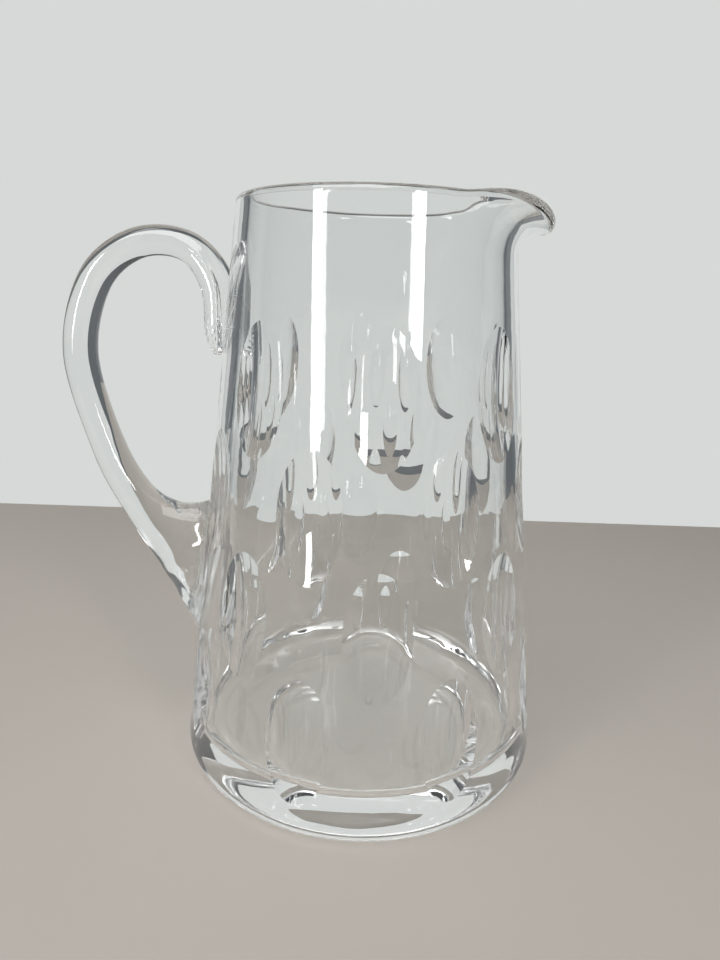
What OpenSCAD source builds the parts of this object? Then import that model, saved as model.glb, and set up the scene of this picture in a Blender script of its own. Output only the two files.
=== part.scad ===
// Cut-glass cocktail pitcher: a blown, wheel-cut bowl with a drawn lip, and an applied handle.
// The lip points along +X and the handle along -X. The foot rests on the plane z = 0.

/* [Bowl] */
// Height from the table to the rim
rim_h = 200; // [185:1:220]
// Outer radius of the rim
rim_r = 46.1; // [44:0.1:50]
// Outer radius at which the tapered wall would meet the table
foot_r = 67.5; // [64:0.1:72]
// Thickness of the wall at the rim
rim_wall = 4.5; // [4.2:0.1:5.5]
// Thickness of the wall at the inner floor
floor_wall = 6.6; // [5.6:0.1:8]
// Thickness of the solid base
base_h = 13; // [11:0.5:18]
// Radius of the rounded heel
heel_r = 7; // [3:0.5:9]
// Radius between the inner floor and the wall
floor_corner_r = 7; // [3:0.5:10]

/* [Hollow under the base] */
// Radius of the ground and polished hollow
hollow_r = 50; // [30:1:54]
// Depth of the hollow at its centre
hollow_h = 1.5; // [0.5:0.1:4]

/* [Wheel cuts] */
// Number of cuts round each row
cuts_round = 8; // [6:2:8]
// Number of staggered rows
cut_rows = 4; // [2:1:4]
// Height of the middle of the lowest row
first_row_h = 34.5; // [33:0.5:38]
// Rise from one row to the next
row_rise = 35.6; // [32:0.1:37]
// Depth of a cut at its middle
cut_depth = 3.2; // [2:0.1:3.4]
// Radius of the cutting wheel
wheel_r = 70; // [50:1:76]
// Radius of the wheel's rounded edge
wheel_edge_r = 27; // [16:0.5:30]
// Angle from the handle round to the nearest column of cuts
cuts_turn = 4.5; // [-8:0.5:8]

/* [Lip] */
// Angle on each side of the lip over which the rim is drawn out
lip_angle = 58; // [50:1:62]
// Height of the wall below the rim that bends outwards
lip_h = 16.3; // [13:0.1:18]
// Angle that the middle of the lip is bent through
lip_bend = 109; // [80:1:112]
// Length that drawing adds at the middle of the lip
lip_drawn = 3.4; // [0:0.1:5]
// Length that drawing adds half way up each side of the lip
lip_crest = 1; // [0:0.1:3]

/* [Handle] */
// Reach of the handle from the axis to its outer side
handle_reach = 108.7; // [104:0.1:114]
// Height of the top of the arch
arch_h = 191.3; // [186:0.1:195]
// Thickness of the drawn rod at the top of the arch
rod_t = 10.3; // [9:0.1:12]
// Thickness of the rod down its outer side
grip_t = 12; // [10:0.1:14]
// Height of the wedge where it meets the wall
wedge_h = 48; // [44:0.5:50]
// Width of the wedge where it meets the wall
wedge_w = 22; // [16:0.5:24]
// Width of the end that is pressed on the wall
pad_w = 19; // [14:0.5:22]

/* [Hidden] */

// Colour of the clear glass
glass = [0.80, 0.86, 0.88, 0.55];
// Facets of a revolved surface, and of a round edge or a cut
round_n = 180;
edge_n = 96;
// How far a cutting solid runs past what it cuts
overrun = 4;
// How far a round edge stands proud of the side that it meets, so that they meet in a clean line
proud = 0.02;

// The wall's lean from the upright, outside, inside and in its middle
inner_floor_r = foot_r - (foot_r - rim_r) * base_h / rim_h - floor_wall;
outer_lean = atan((foot_r - rim_r) / rim_h);
inner_lean = atan((inner_floor_r - (rim_r - rim_wall)) / (rim_h - base_h));
wall_lean = (outer_lean + inner_lean) / 2;

// Radius of the wall's outer side, inner side and middle at height h, and half its thickness
function outer_r(h) = foot_r - h * tan(outer_lean);
function inner_r(h) = rim_r - rim_wall + (rim_h - h) * tan(inner_lean);
function middle_r(h) = (outer_r(h) + inner_r(h)) / 2;
function half_wall(h) = (outer_r(h) - inner_r(h)) / 2 * cos(wall_lean);

// The round edge of the rim: its radius, and the height of its centre
edge_r = half_wall(rim_h - rim_wall / 2);
edge_h = rim_h - edge_r - proud;

// What rounding takes off the corner between a flat and a leaning side of a profile.
// The round's centre is at (x, y), and the leaning side's normal points up by lean.
module corner_waste(x, y, r, lean) {
    difference() {
        polygon([
            [x, y],
            [x, y - r - overrun],
            [x + r + overrun, y - r - overrun],
            [x + r + overrun, y + r * sin(lean)],
            [x + r * cos(lean), y + r * sin(lean)]
        ]);
        translate([x, y]) circle(r + proud, $fn = edge_n);
    }
}

// Distance from a corner to the centre of its round, along the flat side
function round_setback(r, lean) = r * (1 + sin(lean)) / cos(lean);

// Profile of all that the outer side encloses
module outer_profile() {
    top = rim_h + overrun;
    difference() {
        polygon([[0, 0], [foot_r, 0], [outer_r(top), top], [0, top]]);
        corner_waste(foot_r - round_setback(heel_r, outer_lean), heel_r, heel_r, outer_lean);
    }
}

// Profile of the inside, open through the rim
module inner_profile() {
    top = rim_h + 2 * overrun;
    corner_x = inner_floor_r - round_setback(floor_corner_r, inner_lean);
    difference() {
        polygon([[0, base_h], [inner_floor_r, base_h], [inner_r(top), top], [0, top]]);
        corner_waste(corner_x, base_h + floor_corner_r, floor_corner_r, inner_lean);
    }
}

// What the fire-polished edge leaves off the top of the wall
module rim_waste() {
    difference() {
        translate([inner_r(rim_h) - overrun, edge_h]) square([rim_wall + 2 * overrun, rim_h]);
        translate([middle_r(edge_h), edge_h]) circle(edge_r + proud, $fn = edge_n);
    }
}

// Profile of the shallow hollow under the base, part of a large ball
module hollow_profile() {
    ball_r = (hollow_r * hollow_r + hollow_h * hollow_h) / (2 * hollow_h);
    intersection() {
        translate([0, hollow_h - ball_r]) circle(ball_r, $fn = round_n * edge_n);
        translate([0, -overrun]) square([hollow_r + overrun, hollow_h + 2 * overrun]);
    }
}

// The bowl as it comes off the blowpipe: wall, thick base and polished rim
module blown_bowl() {
    rotate_extrude($fn = round_n)
        difference() {
            outer_profile();
            inner_profile();
            rim_waste();
            hollow_profile();
        }
}

// The lip is a shell of its own that takes the place of a sector of the rim. Its end columns and its
// foot lie sunk in the wall, and between them it stands a little proud, so it buries the gap's sides.
lip_sunk = 0.4;
lip_proud = 0.1;
lip_rows = 8;
edge_rows = 10;
lip_columns = 50;

// Half angle of the gap in the rim and of the lip, which ends a column and a half further on
gap_flank = 0.4;
gap_sector = lip_angle + gap_flank;
lip_sector = gap_sector * lip_columns / (lip_columns - 3);
lip_foot_h = rim_h - lip_h - overrun / 2;
gap_foot_h = rim_h - lip_h + 2 * lip_proud;

module lip_gap() {
    rotate([0, 0, -gap_sector])
        rotate_extrude(angle = 2 * gap_sector, $fn = round_n)
            translate([inner_r(rim_h) - overrun, gap_foot_h])
                square([rim_wall + 2 * overrun + lip_h, rim_h]);
}

// Share of the full drawing out at angle a from the middle of the lip
lip_shape = 1.8;
function drawn(a) = abs(a) < lip_angle ? pow(cos(90 * a / lip_angle), lip_shape) : 0;

// The bent wall at angle a: how far it turns, and its length above the bend's foot.
// The least bend keeps the arc's radius finite where the wall stays straight.
least_bend = 0.01;
function bend_at(a) = max(lip_bend * drawn(a), least_bend);
function length_at(a) = (edge_h - rim_h + lip_h) / cos(wall_lean)
    + lip_drawn * drawn(a) + lip_crest * 4 * drawn(a) * (1 - drawn(a));

// Point in the plane at angle a, at length s up the bent wall and t outwards from its middle.
// The wall follows an arc that starts along its own lean at the bend's foot.
function bent(a, s, t) =
    let (
        foot = rim_h - lip_h,
        turned = bend_at(a) * s / length_at(a),
        arc_r = length_at(a) / (bend_at(a) * PI / 180),
        x = middle_r(foot) + arc_r * (cos(wall_lean) - cos(turned - wall_lean)),
        h = foot + arc_r * (sin(turned - wall_lean) + sin(wall_lean))
    )
    [x + t * cos(turned - wall_lean), h - t * sin(turned - wall_lean)];

// Point on the round edge of radius r, at angle q from the outer side over the top to the inner side
function bent_edge(a, q, r) =
    let (
        turned = bend_at(a) - wall_lean,
        c = bent(a, length_at(a), 0),
        out = r * cos(q),
        on = r * sin(q)
    )
    [c[0] + out * cos(turned) + on * sin(turned), c[1] - out * sin(turned) + on * cos(turned)];

// Half the lip's thickness at row i, which stands proud of the wall by p
function lip_half(i, p) =
    let (foot_half = half_wall(rim_h - lip_h))
    foot_half + (edge_r - foot_half) * i / lip_rows + p;

// Outline of the lip at angle a, up the outer side, over the edge and down the inner side
function lip_outline(a, p) = concat(
    [[outer_r(lip_foot_h) - lip_sunk, lip_foot_h]],
    [for (i = [0 : lip_rows - 1]) bent(a, length_at(a) * i / lip_rows, lip_half(i, p))],
    [for (i = [0 : edge_rows]) bent_edge(a, 180 * i / edge_rows, lip_half(lip_rows, p))],
    [for (i = [lip_rows - 1 : -1 : 0]) bent(a, length_at(a) * i / lip_rows, -lip_half(i, p))],
    [[inner_r(lip_foot_h) + lip_sunk, lip_foot_h]]
);

// Closed solid through equal outlines of 3-D points, with flat ends
module skin(rings) {
    n = len(rings[0]);
    last = len(rings) - 1;
    sides = [
        for (j = [0 : last - 1], i = [0 : n - 1])
            let (k = (i + 1) % n)
            each [[j * n + i, j * n + k, (j + 1) * n + k], [j * n + i, (j + 1) * n + k, (j + 1) * n + i]]
    ];
    ends = [[for (i = [n - 1 : -1 : 0]) i], [for (i = [0 : n - 1]) last * n + i]];
    polyhedron([for (r = rings) each r], concat(sides, ends));
}

module lip() {
    skin([
        for (j = [0 : lip_columns])
            let (
                a = lip_sector * (2 * j / lip_columns - 1),
                p = j == 0 || j == lip_columns ? -lip_sunk : lip_proud
            )
            [for (q = lip_outline(a, p)) [q[0] * cos(a), q[0] * sin(a), q[1]]]
    ]);
}

// One pass of the wheel, sunk into the wall at height h on the +X side
module wheel_at(h) {
    translate([outer_r(h), 0, h])
        rotate([0, -outer_lean, 0])
            translate([wheel_r - cut_depth, 0, 0])
                rotate([90, 0, 0])
                    rotate_extrude($fn = round_n)
                        translate([wheel_r - wheel_edge_r, 0]) circle(wheel_edge_r, $fn = edge_n);
}

// Staggered rows of cuts. The places under the handle's ends stay uncut.
module cuts() {
    step = 360 / cuts_round;
    for (row = [0 : cut_rows - 1]) {
        start = cuts_turn + (row % 2 == 0 ? step / 2 : 0);
        for (i = [0 : cuts_round - 1])
            if (abs(start + i * step - 180) > step / 4)
                rotate([0, 0, start + i * step]) wheel_at(first_row_h + row * row_rise);
    }
}

module pitcher_body() {
    color(glass)
        union() {
            difference() {
                blown_bowl();
                lip_gap();
                cuts();
            }
            lip();
        }
}

// Places along the handle, from inside the wall at the wedge, up and over the arch, to the tail.
// Each place's centre lies at a share of the way from the wall to the reach, and at a share of the
// arch's height. Its section has a turn from the outward side, and a thickness and a width that
// are shares of the sizes listed below them.
handle_out_shares = [-0.09, 0.016, 0.288, 0.526, 0.735, 0.8965, 0.797, 0.556, 0.274, 0.09, 0.034, 0.04];
handle_h_shares = [0.35, 0.363, 0.419, 0.486, 0.589, 0.758, 0.896, 0.964, 0.964, 0.905, 0.812, 0.775];
handle_turns = [-82, -80, -74, -53, -16, 0, 28, 68, 112, 143, 173, 180];
thickness_shares = [1, 1, 0.55, 1.23, 1, 0.98, 0.94, 1, 1, 1.14, 0.97, 0.3];
thickness_sizes = [
    wedge_h, wedge_h, wedge_h, grip_t, grip_t, grip_t, grip_t, rod_t, rod_t, rod_t, rod_t, rod_t
];
width_shares = [1.2, 1, 0.8, 1.2, 1.05, 1, 0.98, 1.1, 1.15, 0.8, 1, 0.3];
width_sizes = [
    wedge_w, wedge_w, wedge_w, grip_t, grip_t, grip_t, grip_t, rod_t, rod_t, pad_w, pad_w, pad_w
];
place_count = len(handle_turns);
place_steps = 5;
section_n = 20;

// Smooth curve through the values v, at u places from the first
function through(v, u) =
    let (
        last = len(v) - 1,
        i = min(floor(u), last - 1),
        f = u - i,
        a = v[max(i - 1, 0)],
        b = v[i],
        c = v[i + 1],
        d = v[min(i + 2, last)]
    )
    b + (c - a) * f / 2 + (2 * a - 5 * b + 4 * c - d) * f * f / 2 + (3 * b - a - 3 * c + d) * f * f * f / 2;

// Rounded section of the handle at u places from the first, in the plane of its turn
function handle_section(u) =
    let (
        h = arch_h * through(handle_h_shares, u),
        wall = outer_r(h),
        x = -wall - (handle_reach - wall) * through(handle_out_shares, u),
        turn = through(handle_turns, u),
        t = through([for (i = [0 : place_count - 1]) thickness_sizes[i] * thickness_shares[i]], u) / 2,
        w = through([for (i = [0 : place_count - 1]) width_sizes[i] * width_shares[i]], u) / 2
    )
    [
        for (i = [0 : section_n - 1])
            let (
                q = 360 * i / section_n,
                out = t * cos(q)
            )
            [x - out * cos(turn), w * sin(q), h + out * sin(turn)]
    ];

module drawn_rod() {
    last = (place_count - 1) * place_steps;
    skin([for (j = [0 : last]) handle_section(j / place_steps)]);
}

module handle() {
    color(glass)
        difference() {
            drawn_rod();
            rotate_extrude($fn = round_n) outer_profile();
        }
}

pitcher_body();
handle();
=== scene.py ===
"""Cut-glass cocktail pitcher: the blown and wheel-cut bowl, its drawn lip, the applied handle."""
import math

import bmesh
import bpy
import numpy as np
from mathutils import Matrix


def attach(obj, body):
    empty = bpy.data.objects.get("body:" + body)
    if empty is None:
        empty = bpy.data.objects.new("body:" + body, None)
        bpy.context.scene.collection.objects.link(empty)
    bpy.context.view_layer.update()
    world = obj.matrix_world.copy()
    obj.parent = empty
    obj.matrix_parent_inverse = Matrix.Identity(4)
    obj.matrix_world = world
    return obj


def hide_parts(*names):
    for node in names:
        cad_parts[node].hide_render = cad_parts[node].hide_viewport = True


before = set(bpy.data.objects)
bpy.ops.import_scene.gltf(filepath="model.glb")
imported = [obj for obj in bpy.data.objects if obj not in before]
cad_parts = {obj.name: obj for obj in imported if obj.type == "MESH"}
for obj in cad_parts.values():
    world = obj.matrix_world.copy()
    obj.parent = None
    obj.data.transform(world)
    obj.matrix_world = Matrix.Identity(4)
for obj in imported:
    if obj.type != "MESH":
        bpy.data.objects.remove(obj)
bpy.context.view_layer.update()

MM = 0.001

# Sizes in millimetres and degrees, as in the solid model
RIM_H, RIM_R, FOOT_R = 200.0, 46.1, 67.5
RIM_WALL, FLOOR_WALL, BASE_H = 4.5, 6.6, 13.0
HEEL_R, FLOOR_CORNER_R = 7.0, 7.0
HOLLOW_R, HOLLOW_H = 50.0, 1.5
CUTS_ROUND, CUT_ROWS, CUTS_TURN = 8, 4, 4.5
FIRST_ROW_H, ROW_RISE = 34.5, 35.6
CUT_DEPTH, WHEEL_R, WHEEL_EDGE_R = 3.2, 70.0, 27.0
LIP_ANGLE, LIP_H, LIP_BEND = 58.0, 16.3, 109.0
LIP_DRAWN, LIP_CREST, LIP_SHAPE = 3.4, 1.0, 1.8
HANDLE_REACH, ARCH_H = 108.7, 191.3
ROD_T, GRIP_T = 10.3, 12.0
WEDGE_H, WEDGE_W, PAD_W = 48.0, 22.0, 19.0

INNER_FLOOR_R = FOOT_R - (FOOT_R - RIM_R) * BASE_H / RIM_H - FLOOR_WALL
OUTER_LEAN = math.atan((FOOT_R - RIM_R) / RIM_H)
INNER_LEAN = math.atan((INNER_FLOOR_R - (RIM_R - RIM_WALL)) / (RIM_H - BASE_H))
WALL_LEAN = (OUTER_LEAN + INNER_LEAN) / 2
LIP_FOOT_H = RIM_H - LIP_H

# Places along the handle, from the wedge to the tail: shares of the way from the wall to the
# reach, and of the arch's height, with the turn of the section there, its thickness and its width
OUT_SHARES = [-0.09, 0.016, 0.288, 0.526, 0.735, 0.8965, 0.797, 0.556, 0.274, 0.09, 0.034, 0.04]
H_SHARES = [0.35, 0.363, 0.419, 0.486, 0.589, 0.758, 0.896, 0.964, 0.964, 0.905, 0.812, 0.775]
TURNS = [-82, -80, -74, -53, -16, 0, 28, 68, 112, 143, 173, 180]
THICKNESSES = [WEDGE_H, WEDGE_H, WEDGE_H * 0.55, GRIP_T * 1.23, GRIP_T, GRIP_T * 0.98,
               GRIP_T * 0.94, ROD_T, ROD_T, ROD_T * 1.14, ROD_T * 0.97, ROD_T * 0.3]
WIDTHS = [WEDGE_W * 1.2, WEDGE_W, WEDGE_W * 0.8, GRIP_T * 1.2, GRIP_T * 1.05, GRIP_T,
          GRIP_T * 0.98, ROD_T * 1.1, ROD_T * 1.15, PAD_W * 0.8, PAD_W, PAD_W * 0.3]
LAST_PLACE = len(TURNS) - 1

# What hand work leaves on the handle. The shares are of the section's size there, the reaches and
# steps are millimetres, and the tail's marks begin TAIL_PLACES before the handle's end. Folds and
# grooves are waves round the section: how many, their turn in radians and their part of the share
SPREAD_SHARE, SPREAD_REACH = 0.1, 2.0
FOLD_SHARE, FOLD_REACH = 0.022, 9.0
FOLD_WAVES = ((11, 1.0, 1.0), (17, 2.2, 0.7))
CREASE_SHARE, CREASE_STEP, CREASE_REACH = 0.028, 8.0, 16.0
CREASE_BOW, CREASE_TURN = 1.5, 0.6
GROOVE_SHARE, TAIL_PLACES = 0.023, 3.2
GROOVE_WAVES = ((9, 0.5, 1.0), (14, 1.3, 0.6))
CRIMP_SHARE, CRIMP_STEP, CRIMPS_TOP_H, CRIMPS_RISE = 0.036, 3.0, 164.0, 5.0
# How far under the wall's surface the fused ends go, in millimetres
SEAT_DEPTH = 0.2

# Depth of the waves and cords that hand work leaves in the glass, in millimetres
CORD_DEPTH = 0.05

# The bowl's mesh. Each cut lies in a diamond with SIDE_N columns to a side, and with rings from
# the cut's middle to its edge and on to the diamond's sides. The rim has twice as many columns
SIDE_N = 20
COLUMNS = 2 * CUTS_ROUND * SIDE_N
RIM_COLUMNS = 2 * COLUMNS
CUT_RINGS, PLAIN_RINGS = 10, 5
# Where a diamond stays plain, the ring that is a cut's edge elsewhere lies at this share
UNCUT_RING_SHARE = 0.55
# The lowest diamonds end this many millimetres over the heel, and the highest this share of a
# row's rise above their middles
LOWEST_GAP, TOP_SHARE = 1.2, 0.9
# Rows of faces in each further part of the bowl, from the cuts up, in and down to the base
STRIP_ROWS, LIP_ROWS, EDGE_ROWS, INSIDE_ROWS = 4, 12, 32, 24
ROUND_ROWS, FLOOR_ROWS, FOOT_RING_ROWS, HOLLOW_ROWS = 11, 5, 3, 11

# The handle's mesh: points round a section, sections to a place, and rings that close an end
HANDLE_COLUMNS, PLACE_ROWS, CAP_ROWS = 96, 20, 8

# Points nearer than this, in millimetres, are one point
MERGE_GAP = 0.004


def outer_r(h):
    """Outer radius of the tapered wall at height h: a straight line from the foot to the rim."""
    return FOOT_R - h * math.tan(OUTER_LEAN)


def inner_r(h):
    """Inner radius of the tapered wall at height h: a straight line as well."""
    return RIM_R - RIM_WALL + (RIM_H - h) * math.tan(INNER_LEAN)


def middle_r(h):
    """Radius of the middle of the wall at height h."""
    return (outer_r(h) + inner_r(h)) / 2


def half_wall(h):
    """Half the wall's thickness at height h, measured square to the wall."""
    return (outer_r(h) - inner_r(h)) / 2 * math.cos(WALL_LEAN)


EDGE_R = half_wall(RIM_H - RIM_WALL / 2)
EDGE_H = RIM_H - EDGE_R


def steps(n):
    """Column of the shares 0 to 1 in n equal steps."""
    return np.linspace(0, 1, n + 1)[:, None]


def round_axis(radius, h, angles):
    """Grid of points, row by row, from radii and heights carried round the bowl's axis."""
    return np.stack([radius * np.cos(angles), radius * np.sin(angles), h + 0 * angles], -1)


def columns_round(n):
    """The angles of n equal columns round the bowl, from the middle of a cut."""
    return math.radians(CUTS_TURN) + np.arange(n) * 2 * math.pi / n


def arc(x, h, r, start, end, rows):
    """Radii and heights of a round of radius r about (x, h), between two angles in degrees."""
    q = np.radians(start + (end - start) * steps(rows))
    return x + r * np.cos(q), h + r * np.sin(q)


def wheel_depth(angle, h, cut_h):
    """How deep one pass of the wheel goes at (angle, h) of the wall, negative where it misses.

    The angle is counted from the cut's middle. The wheel is a torus on edge. In the frame of the
    cut, with u out of the wall, v round it and w up it, its near side is
    u = wheel - depth - sqrt((hub + sqrt(edge^2 - v^2))^2 - w^2).
    The radius where the horizontal line towards the axis meets it is found by a few corrections,
    each of them what is left between the two along u.
    """
    here = outer_r(h)
    radius = here.copy()
    hub = WHEEL_R - WHEEL_EDGE_R
    corrections = 6
    for _ in range(corrections):
        x = radius * np.cos(angle) - outer_r(cut_h)
        v = radius * np.sin(angle)
        u = x * math.cos(OUTER_LEAN) + (h - cut_h) * math.sin(OUTER_LEAN)
        w = (h - cut_h) * math.cos(OUTER_LEAN) - x * math.sin(OUTER_LEAN)
        edge = np.sqrt(np.maximum(WHEEL_EDGE_R ** 2 - v ** 2, 0))
        near = WHEEL_R - CUT_DEPTH - np.sqrt(np.maximum((hub + edge) ** 2 - w ** 2, 0))
        miss = (np.abs(v) >= WHEEL_EDGE_R) | (hub + edge <= np.abs(w))
        radius = np.where(miss, here + 1, radius + (near - u) * np.cos(angle))
    return here - radius


def diamond(centre_angle, centre_h, low_h, high_h, is_cut):
    """Piece of the outer wall round one cut, as rings from the cut's middle to a diamond's sides.

    A ring is middle + s * (side - middle). The s of the cut's edge, where the wheel's depth falls
    to zero, is found by halving. The rings inside it are sunk by the wheel's depth, so the cut's
    sharp edge is a ring of the mesh.
    """
    half = math.pi / CUTS_ROUND
    k = np.arange(SIDE_N) / SIDE_N
    side_angle = half * np.concatenate([1 - k, -k, k - 1, k])
    above, below = high_h - centre_h, low_h - centre_h
    side_h = np.concatenate([above * k, above * (1 - k), below * k, below * (1 - k)])
    low_s, high_s = np.zeros(4 * SIDE_N), np.ones(4 * SIDE_N)
    halvings = 40
    if is_cut:
        for _ in range(halvings):
            s = (low_s + high_s) / 2
            deep = wheel_depth(side_angle * s, centre_h + side_h * s, centre_h) > 0
            low_s, high_s = np.where(deep, s, low_s), np.where(deep, high_s, s)
    else:
        low_s[:] = UNCUT_RING_SHARE
    inside = steps(CUT_RINGS) * low_s
    outside = low_s + steps(PLAIN_RINGS)[1:] * (1 - low_s)
    s = np.concatenate([inside, outside])
    angle, h = side_angle * s, centre_h + side_h * s
    depth = np.zeros_like(h)
    if is_cut:
        sunk = slice(0, CUT_RINGS)
        depth[sunk] = np.maximum(wheel_depth(angle[sunk], h[sunk], centre_h), 0)
    return round_axis(outer_r(h) - depth, h, angle + centre_angle)


def cut_places():
    """Row, middle angle and height of each place of the staggered pattern, and whether it is cut.

    Every other row is turned by half a step. The two places behind the handle stay plain.
    """
    step = 360 / CUTS_ROUND
    for row in range(CUT_ROWS):
        start = CUTS_TURN + (step / 2 if row % 2 == 0 else 0)
        for i in range(CUTS_ROUND):
            angle = start + i * step
            is_cut = abs(angle - 180) > step / 4
            yield row, math.radians(angle), FIRST_ROW_H + row * ROW_RISE, is_cut


def drawn(angle):
    """Share of the full drawing out at an angle from the lip's middle: a power of a cosine."""
    share = np.cos(np.clip(angle / LIP_ANGLE, -1, 1) * math.pi / 2)
    return np.maximum(share, 0) ** LIP_SHAPE


def lip_sections(angles):
    """Radii and heights of the wall from the lip's foot, over the rim and down to the lip's foot.

    The middle of the wall follows an arc of length(angle) through bend(angle), which starts along
    the wall's own lean. Its two sides lie half a wall from it and end in a half round.
    """
    share = drawn(angles)
    # Where nothing is drawn out, the wall is an arc too, of hardly any bend
    least_bend = 0.01
    bend = np.radians(np.maximum(LIP_BEND * share, least_bend))
    length = (EDGE_H - LIP_FOOT_H) / math.cos(WALL_LEAN) + LIP_DRAWN * share
    length = length + 4 * LIP_CREST * share * (1 - share)
    arc_r = length / bend
    up = steps(LIP_ROWS)
    turned = bend * up - WALL_LEAN
    x = middle_r(LIP_FOOT_H) + arc_r * (math.cos(WALL_LEAN) - np.cos(turned))
    h = LIP_FOOT_H + arc_r * (np.sin(turned) + math.sin(WALL_LEAN))
    half = half_wall(LIP_FOOT_H) + (EDGE_R - half_wall(LIP_FOOT_H)) * up
    q = math.pi * steps(EDGE_ROWS)
    out, on = EDGE_R * np.cos(q), EDGE_R * np.sin(q)
    edge_x = x[-1] + out * np.cos(turned[-1]) + on * np.sin(turned[-1])
    edge_h = h[-1] - out * np.sin(turned[-1]) + on * np.cos(turned[-1])
    outer_x, outer_h = x + half * np.cos(turned), h - half * np.sin(turned)
    inner_x, inner_h = x - half * np.cos(turned), h + half * np.sin(turned)
    return (np.concatenate([outer_x[:-1], edge_x, inner_x[-2::-1]]),
            np.concatenate([outer_h[:-1], edge_h, inner_h[-2::-1]]))


def grid_faces(rows, columns, first):
    """Quads of a grid of points, counted row by row from the first and joined round."""
    i, j = np.meshgrid(np.arange(rows - 1), np.arange(columns), indexing="ij")
    k = (j + 1) % columns
    quads = [i * columns + j, i * columns + k, (i + 1) * columns + k, (i + 1) * columns + j]
    return np.stack(quads, -1).reshape(-1, 4) + first


def mesh_piece(name, grids, sharp_rings=()):
    """Object from grids of points in millimetres, with doubles merged and faces outwards.

    sharp_rings names (grid, row) pairs whose ring of edges is a ground edge and stays sharp.
    """
    firsts = np.cumsum([0] + [grid.shape[0] * grid.shape[1] for grid in grids])
    points = np.concatenate([grid.reshape(-1, 3) for grid in grids]) * MM
    faces = [grid_faces(*grid.shape[:2], first) for grid, first in zip(grids, firsts)]
    mesh = bpy.data.meshes.new(name)
    mesh.from_pydata(points, [], np.concatenate(faces))

    def edge_keys(ends):
        ends = np.sort(ends, axis=-1)
        return ends[:, 0] * len(points) + ends[:, 1]

    ring_keys = [np.zeros(0, int)]
    for grid, row in sharp_rings:
        n = grids[grid].shape[1]
        j = np.arange(n)
        ring_keys.append(edge_keys(firsts[grid] + row * n + np.stack([j, (j + 1) % n], -1)))
    edges = np.empty(2 * len(mesh.edges), int)
    mesh.edges.foreach_get("vertices", edges)
    sharp = np.isin(edge_keys(edges.reshape(-1, 2)), np.concatenate(ring_keys))
    mesh.attributes.new("sharp_edge", "BOOLEAN", "EDGE").data.foreach_set("value", sharp)
    shape = bmesh.new()
    shape.from_mesh(mesh)
    bmesh.ops.remove_doubles(shape, verts=shape.verts, dist=MERGE_GAP * MM)
    bmesh.ops.recalc_face_normals(shape, faces=shape.faces)
    shape.to_mesh(mesh)
    shape.free()
    mesh.polygons.foreach_set("use_smooth", np.ones(len(mesh.polygons), bool))
    piece = bpy.data.objects.new(name, mesh)
    bpy.context.scene.collection.objects.link(piece)
    return piece


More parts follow.
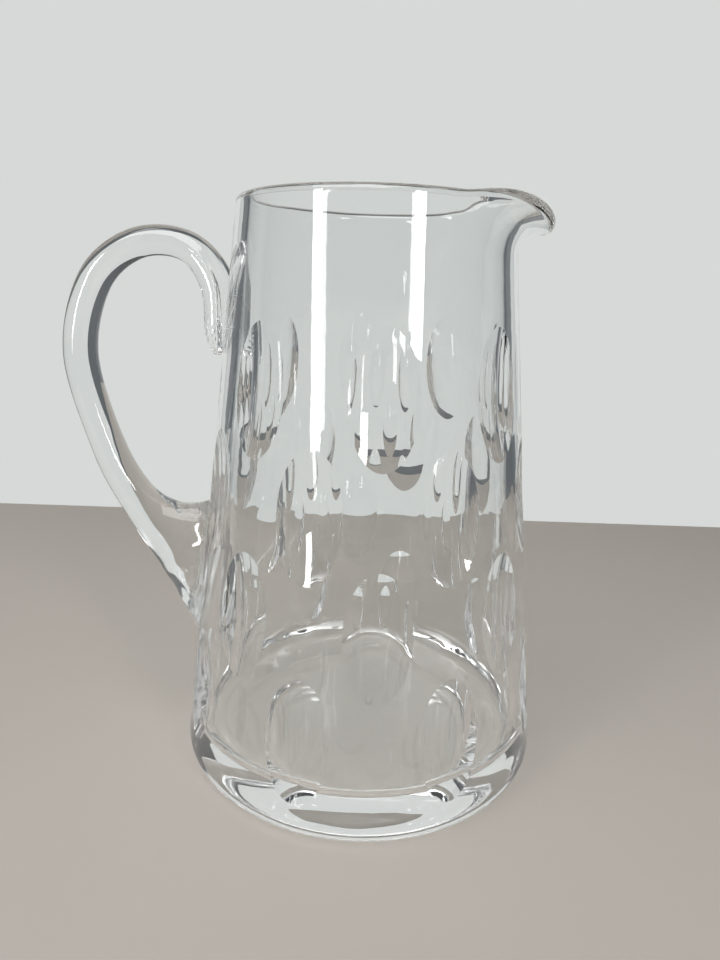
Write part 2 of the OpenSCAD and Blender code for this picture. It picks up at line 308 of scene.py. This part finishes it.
def bowl():
    """The bowl, closed from the middle of its floor over the rim to the middle of its base.

    The outside is the cuts' diamonds and a strip above and below them, whose zigzag sides follow
    a triangle wave round the bowl. The heel and the floor's corner are arcs that touch the lines
    next to them, and the hollow under the base is part of a large ball.
    """
    angles, rim_angles = columns_round(COLUMNS), columns_round(RIM_COLUMNS)
    grids, sharp = [], []
    wall_foot_h = HEEL_R * (1 + math.sin(OUTER_LEAN))
    lowest_h = wall_foot_h + LOWEST_GAP
    top_rise = ROW_RISE * TOP_SHARE
    for row, angle, h, is_cut in cut_places():
        below = h - lowest_h if row == 0 else ROW_RISE
        above = top_rise if row == CUT_ROWS - 1 else ROW_RISE
        if is_cut:
            sharp.append((len(grids), CUT_RINGS))
        grids.append(diamond(angle, h, h - below, h + above, is_cut))

    # Strips between the outermost diamonds and the heel and lip
    lip_x, lip_h = lip_sections(np.degrees((rim_angles + math.pi) % (2 * math.pi) - math.pi))
    wave = np.abs((np.arange(COLUMNS) / SIDE_N) % 2 - 1)
    zigzag_top = FIRST_ROW_H + (CUT_ROWS - 1) * ROW_RISE + top_rise * wave
    zigzag_low = FIRST_ROW_H + (lowest_h - FIRST_ROW_H) * (1 - wave)
    s = steps(STRIP_ROWS)
    for start_h, end_h in ((zigzag_top, lip_h[0, ::2]), (wall_foot_h, zigzag_low)):
        h = start_h + s * (end_h - start_h)
        grids.append(round_axis(outer_r(h), h, angles))

    # Rim and lip, whose first and last rings hold every other point twice, to join the rest
    rim = round_axis(lip_x, lip_h, rim_angles)
    rim[[0, -1]] = np.repeat(rim[[0, -1], ::2], 2, axis=1)
    grids.append(rim)

    # Inside wall, floor corner and floor
    corner_x = INNER_FLOOR_R - FLOOR_CORNER_R * (1 + math.sin(INNER_LEAN)) / math.cos(INNER_LEAN)
    x, h = arc(corner_x, BASE_H + FLOOR_CORNER_R, FLOOR_CORNER_R, math.degrees(INNER_LEAN), -90,
               ROUND_ROWS)
    s = steps(INSIDE_ROWS)
    wall_x, wall_h = lip_x[-1, ::2], lip_h[-1, ::2]
    grids.append(round_axis(wall_x + s * (x[0] - wall_x), wall_h + s * (h[0] - wall_h), angles))
    floor_x = corner_x * (1 - steps(FLOOR_ROWS)[1:])
    grids.append(round_axis(np.concatenate([x, floor_x]),
                            np.concatenate([h, 0 * floor_x + BASE_H]), angles))

    # Heel, foot ring and hollow
    heel_x = FOOT_R - HEEL_R * (1 + math.sin(OUTER_LEAN)) / math.cos(OUTER_LEAN)
    x, h = arc(heel_x, HEEL_R, HEEL_R, math.degrees(OUTER_LEAN), -90, ROUND_ROWS)
    ring_x = heel_x + (HOLLOW_R - heel_x) * steps(FOOT_RING_ROWS)[1:-1]
    ball_r = (HOLLOW_R ** 2 + HOLLOW_H ** 2) / (2 * HOLLOW_H)
    dome_x = HOLLOW_R * (1 - steps(HOLLOW_ROWS))
    dome_h = HOLLOW_H - ball_r + np.sqrt(ball_r ** 2 - dome_x ** 2)
    grids.append(round_axis(np.concatenate([x, ring_x, dome_x]),
                            np.concatenate([h, 0 * ring_x, dome_h]), angles))
    return mesh_piece("bowl", grids, sharp)


def smooth_through(values, u):
    """Smooth curve through the values, at u places from the first (a Catmull-Rom spline)."""
    v = np.asarray(values, float)
    last = len(v) - 1
    i = np.minimum(np.floor(u).astype(int), last - 1)
    f = u - i
    a, b, c, d = v[np.maximum(i - 1, 0)], v[i], v[i + 1], v[np.minimum(i + 2, last)]
    return (b + (c - a) * f / 2 + (2 * a - 5 * b + 4 * c - d) * f ** 2 / 2
            + (3 * b - a - 3 * c + d) * f ** 3 / 2)


def waves_round(q, waves):
    """Sum of cosines of the angle q round a section, from (how many, turn, part) of each."""
    return sum(part * np.cos(count * q + turn) for count, turn, part in waves)


def hand_marks(u, h, q, beyond):
    """Share by which hand work moves the handle's surface at place u, height h and angle q.

    beyond is the distance from the wall. Near the wall the hot glass spread, by a share that falls
    off with that distance. On the wedge a sum of two cosines round the section gives the folds
    that the tool left, and a cosine of the distance gives the creases across its outer side. In
    the same way the pinched tail has grooves along it and crimps, a cosine of the height, across
    its end.
    """
    outer_side, inner_side = 0.5 + 0.5 * np.cos(q), 0.5 - 0.5 * np.cos(q)
    spread = SPREAD_SHARE * np.exp(-beyond / SPREAD_REACH)
    folds = FOLD_SHARE * waves_round(q, FOLD_WAVES) * np.exp(-(beyond / FOLD_REACH) ** 2)
    bow = CREASE_BOW * np.sin(q + CREASE_TURN)
    creases = CREASE_SHARE * np.cos(2 * math.pi * beyond / CREASE_STEP + bow)
    creases = creases * np.exp(-(beyond / CREASE_REACH) ** 2) * outer_side
    grooves = GROOVE_SHARE * waves_round(q, GROOVE_WAVES)
    crimps = CRIMP_SHARE * np.cos(2 * math.pi * h / CRIMP_STEP)
    crimps = crimps * np.clip((CRIMPS_TOP_H - h) / CRIMPS_RISE, 0, 1) * inner_side
    on_tail = np.clip(u - LAST_PLACE + TAIL_PLACES, 0, 1)
    return spread + np.where(u < LAST_PLACE / 2, folds + creases, (grooves + crimps) * on_tail)


def handle():
    """The handle: an oval section carried along a curve from the wedge over the arch to the tail.

    The section grows and shrinks by the marks of hand work. Points inside the wall are brought out
    to just under its surface, where the two pieces of glass are fused.
    """
    u = LAST_PLACE * steps(PLACE_ROWS * LAST_PLACE)
    h = ARCH_H * smooth_through(H_SHARES, u)
    x = -outer_r(h) - (HANDLE_REACH - outer_r(h)) * smooth_through(OUT_SHARES, u)
    turn = np.radians(smooth_through(TURNS, u))
    q = 2 * math.pi * np.arange(HANDLE_COLUMNS) / HANDLE_COLUMNS
    out = smooth_through(THICKNESSES, u) / 2 * np.cos(q)
    across = smooth_through(WIDTHS, u) / 2 * np.sin(q)
    points = np.stack([x - out * np.cos(turn), across, h + out * np.sin(turn)], -1)
    middles = points.mean(axis=1, keepdims=True)
    beyond = np.hypot(points[..., 0], points[..., 1]) - outer_r(points[..., 2])
    marks = hand_marks(u, h, q, np.maximum(beyond, 0))
    points = middles + (points - middles) * (1 + marks)[..., None]
    caps = steps(CAP_ROWS)[:-1, :, None]
    start = middles[0] + caps * (points[0] - middles[0])
    end = middles[-1] + caps[::-1] * (points[-1] - middles[-1])
    points = np.concatenate([start, points, end])
    radius = np.hypot(points[..., 0], points[..., 1])
    fused = outer_r(points[..., 2]) - SEAT_DEPTH
    points[..., :2] *= (np.maximum(radius, fused) / radius)[..., None]
    return mesh_piece("handle_rod", [points])


def linear(hex_colour):
    """Linear colour from an sRGB hex value."""
    value = np.array([int(hex_colour[i:i + 2], 16) for i in (0, 2, 4)]) / 255
    value = np.where(value <= 0.04045, value / 12.92, ((value + 0.055) / 1.055) ** 2.4)
    return (*map(float, value), 1.0)


def add_node(tree, kind, settings=None, **inputs):
    """Add a node, set its own settings, and set or link its inputs.

    An input is named with _ for each space, or n and its number where names repeat.
    """
    node = tree.nodes.new(kind)
    for key, value in (settings or {}).items():
        setattr(node, key, value)
    for key, value in inputs.items():
        by_number = key[0] == "n" and key[1:].isdigit()
        socket = node.inputs[int(key[1:]) if by_number else key.replace("_", " ")]
        if isinstance(value, bpy.types.NodeSocket):
            tree.links.new(value, socket)
        else:
            socket.default_value = value
    return node


def new_material(name):
    """Empty node material and its tree."""
    material = bpy.data.materials.new(name)
    material.use_nodes = True
    material.node_tree.nodes.clear()
    return material, material.node_tree


def crystal(name, wave_mm, cord_mm):
    """Lead crystal, blown, wheel cut and acid polished: clear, bright and a trace cool.

    Slow waves of hand work, and fine cords that lie across the melt as it was turned, a few
    hundredths of a millimetre deep, bend what the wall mirrors and what is seen through it.
    """
    material, tree = new_material(name)
    place = add_node(tree, "ShaderNodeTexCoord").outputs["Object"]
    waves = add_node(tree, "ShaderNodeTexNoise", Vector=place,
                     Scale=1 / (wave_mm * MM), Detail=2.0, Roughness=0.4)
    # A cord is five times as long as it is high
    across = add_node(tree, "ShaderNodeMapping", Vector=place, Scale=(0.2, 0.2, 1.0))
    cords = add_node(tree, "ShaderNodeTexNoise", Vector=across.outputs["Vector"],
                     Scale=1 / (cord_mm * MM), Detail=1.0, Roughness=0.5)
    height = add_node(tree, "ShaderNodeMath", {"operation": "ADD"},
                      n0=waves.outputs["Fac"], n1=cords.outputs["Fac"])
    bump = add_node(tree, "ShaderNodeBump", Strength=1.0, Distance=CORD_DEPTH * MM,
                    Height=height.outputs[0])
    glass = add_node(tree, "ShaderNodeBsdfPrincipled", Base_Color=linear("FDFEFE"), Roughness=0.0,
                     IOR=1.54, Transmission_Weight=1.0, Normal=bump.outputs["Normal"])
    # Clear glass throws only a light shadow: each surface takes a little from the lamps' light
    lit = add_node(tree, "ShaderNodeBsdfTransparent", Color=linear("DBDCDC"))
    path = add_node(tree, "ShaderNodeLightPath")
    mix = add_node(tree, "ShaderNodeMixShader", n0=path.outputs["Is Shadow Ray"],
                   n1=glass.outputs["BSDF"], n2=lit.outputs["BSDF"])
    add_node(tree, "ShaderNodeOutputMaterial", Surface=mix.outputs["Shader"])
    return material


def paper(name, colour, glow):
    """Matt seamless paper. With glow, the camera and the glass see its colour as written."""
    material, tree = new_material(name)
    place = add_node(tree, "ShaderNodeTexCoord").outputs["Object"]
    # Its grain is drawn coarser than real paper's, or it wouldn't show
    grains_per_mm, grain_depth_mm = 0.9, 0.2
    grain = add_node(tree, "ShaderNodeTexNoise", Vector=place, Scale=grains_per_mm / MM,
                     Detail=2.0)
    bump = add_node(tree, "ShaderNodeBump", Strength=0.05, Distance=grain_depth_mm * MM,
                    Height=grain.outputs["Fac"])
    matt = add_node(tree, "ShaderNodeBsdfDiffuse", Color=linear(colour),
                    Normal=bump.outputs["Normal"])
    if not glow:
        add_node(tree, "ShaderNodeOutputMaterial", Surface=matt.outputs["BSDF"])
        return material
    path = add_node(tree, "ShaderNodeLightPath")
    seen = add_node(tree, "ShaderNodeMath", {"operation": "ADD"},
                    n0=path.outputs["Is Camera Ray"], n1=path.outputs["Is Glossy Ray"])
    seen = add_node(tree, "ShaderNodeMath", {"operation": "ADD", "use_clamp": True},
                    n0=seen.outputs[0], n1=path.outputs["Is Transmission Ray"])
    shine = add_node(tree, "ShaderNodeEmission", Color=linear(colour), Strength=1.0)
    mix = add_node(tree, "ShaderNodeMixShader", n0=seen.outputs[0], n1=matt.outputs["BSDF"],
                   n2=shine.outputs["Emission"])
    add_node(tree, "ShaderNodeOutputMaterial", Surface=mix.outputs["Shader"])
    return material


def sheet_of_paper(name, corners, material):
    """Flat stage piece from four corners, in metres."""
    mesh = bpy.data.meshes.new(name)
    mesh.from_pydata(corners, [], [(0, 1, 2, 3)])
    mesh.materials.append(material)
    piece = bpy.data.objects.new(name, mesh)
    bpy.context.scene.collection.objects.link(piece)


def aim(piece, where, back, right, roll):
    """Put a lamp or camera at a place, facing away from back, rolled about its line of sight."""
    up = np.cross(back, right)
    q = math.radians(roll)
    right, up = right * math.cos(q) + up * math.sin(q), up * math.cos(q) - right * math.sin(q)
    axes = zip(right, up, back, where)
    piece.matrix_world = Matrix([*map(list, axes), [0, 0, 0, 1]])
    bpy.context.scene.collection.objects.link(piece)


def softbox(name, azimuth, elevation, lean, distance, width, height, power):
    """Area lamp that faces the pitcher's middle, from an azimuth round from the front.

    Its upper end leans to the lamp's own left as the lamp sees the pitcher. Angles are in degrees,
    lengths in metres and the power in watts.
    """
    lamp = bpy.data.lights.new(name, "AREA")
    lamp.shape, lamp.size, lamp.size_y, lamp.energy = "RECTANGLE", width, height, power
    a, e = math.radians(azimuth), math.radians(elevation)
    away = np.array([math.sin(a) * math.cos(e), -math.cos(a) * math.cos(e), math.sin(e)])
    right = np.array([math.cos(a), math.sin(a), 0.0])
    pitcher_middle = np.array([0, 0, 0.12])
    aim(bpy.data.objects.new(name, lamp), pitcher_middle + distance * away, away, right, lean)


# The object
pitcher = bowl()
pitcher.data.materials.append(crystal("crystal_bowl", wave_mm=30, cord_mm=6))
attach(pitcher, "root")
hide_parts("pitcher_body")

rod = handle()
rod.data.materials.append(crystal("crystal_handle", wave_mm=18, cord_mm=8))
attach(rod, "root")
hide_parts("handle")

# The stage: a pale floor that ends behind the pitcher, and a pale backdrop, whose lower edge is
# just hidden behind the floor. A hair of air lies under the foot, as under any real one, so that
# the base mirrors from within what is behind it
FLOOR_SIDE, FLOOR_BACK, FLOOR_H = 0.6, 0.277, -0.0002
sheet_of_paper("floor", [(-FLOOR_SIDE, -FLOOR_SIDE, FLOOR_H), (FLOOR_SIDE, -FLOOR_SIDE, FLOOR_H),
                         (FLOOR_SIDE, FLOOR_BACK, FLOOR_H), (-FLOOR_SIDE, FLOOR_BACK, FLOOR_H)],
               paper("floor_paper", "BDB6AE", glow=False))
DROP_SIDE, DROP_Y, DROP_LOW_H, DROP_HIGH_H = 0.8, 0.9, -0.21, 1.3
sheet_of_paper("backdrop", [(-DROP_SIDE, DROP_Y, DROP_LOW_H), (DROP_SIDE, DROP_Y, DROP_LOW_H),
                            (DROP_SIDE, DROP_Y, DROP_HIGH_H), (-DROP_SIDE, DROP_Y, DROP_HIGH_H)],
               paper("backdrop_paper", "D6D9D7", glow=True))

# Plain soft light: two tall narrow lamps in front, and a broad one above
softbox("tall_left", azimuth=-41, elevation=11, lean=22, distance=1.1, width=0.135, height=0.54,
        power=4)
softbox("tall_right", azimuth=32.6, elevation=16.5, lean=-8, distance=1.1, width=0.16,
        height=0.33, power=3.2)
softbox("overhead", azimuth=-25, elevation=62, lean=0, distance=1.3, width=1.2, height=1.0,
        power=14)

# The room: mid grey round the horizon, which draws the glass's edges, and darker overhead
world = bpy.data.worlds.new("studio")
bpy.context.scene.world = world
world.use_nodes = True
tree = world.node_tree
direction = add_node(tree, "ShaderNodeTexCoord").outputs["Generated"]
upward = add_node(tree, "ShaderNodeSeparateXYZ", Vector=direction).outputs["Z"]
rise = add_node(tree, "ShaderNodeMapRange", {"interpolation_type": "SMOOTHSTEP"}, Value=upward,
                From_Min=0.1, From_Max=0.8).outputs["Result"]
room = add_node(tree, "ShaderNodeMix", {"data_type": "RGBA"}, n0=rise, n6=linear("606467"),
                n7=linear("3A3D40"))
tree.links.new(room.outputs[2], tree.nodes["Background"].inputs["Color"])

# The camera, at the photograph's viewing angle: a little above the pitcher's middle, looking down.
# The focal length is in pixels of a picture this many pixels high, the sensor in millimetres
FOCAL_PX, PICTURE_H_PX, SENSOR = 693, 960, 36
CAMERA_PLACE = np.array([-0.0012, -0.2476, 0.1709])
CAMERA_PITCH, CAMERA_YAW, CAMERA_ROLL = 15.16, -0.31, 1.84
camera_data = bpy.data.cameras.new("camera")
camera_data.sensor_width = SENSOR
camera_data.lens = SENSOR * FOCAL_PX / PICTURE_H_PX
camera = bpy.data.objects.new("camera", camera_data)
pitch, yaw = math.radians(CAMERA_PITCH), math.radians(CAMERA_YAW)
back = np.array([-math.sin(yaw) * math.cos(pitch), -math.cos(yaw) * math.cos(pitch),
                 math.sin(pitch)])
aim(camera, CAMERA_PLACE, back, np.array([math.cos(yaw), -math.sin(yaw), 0.0]), CAMERA_ROLL)
bpy.context.scene.camera = camera
bpy.context.scene.view_settings.view_transform = "Standard"

# Light crosses many glass surfaces before it leaves the bowl
GLASS_BOUNCES = 32
bpy.context.scene.cycles.max_bounces = GLASS_BOUNCES
bpy.context.scene.cycles.glossy_bounces = GLASS_BOUNCES
bpy.context.scene.cycles.transmission_bounces = GLASS_BOUNCES
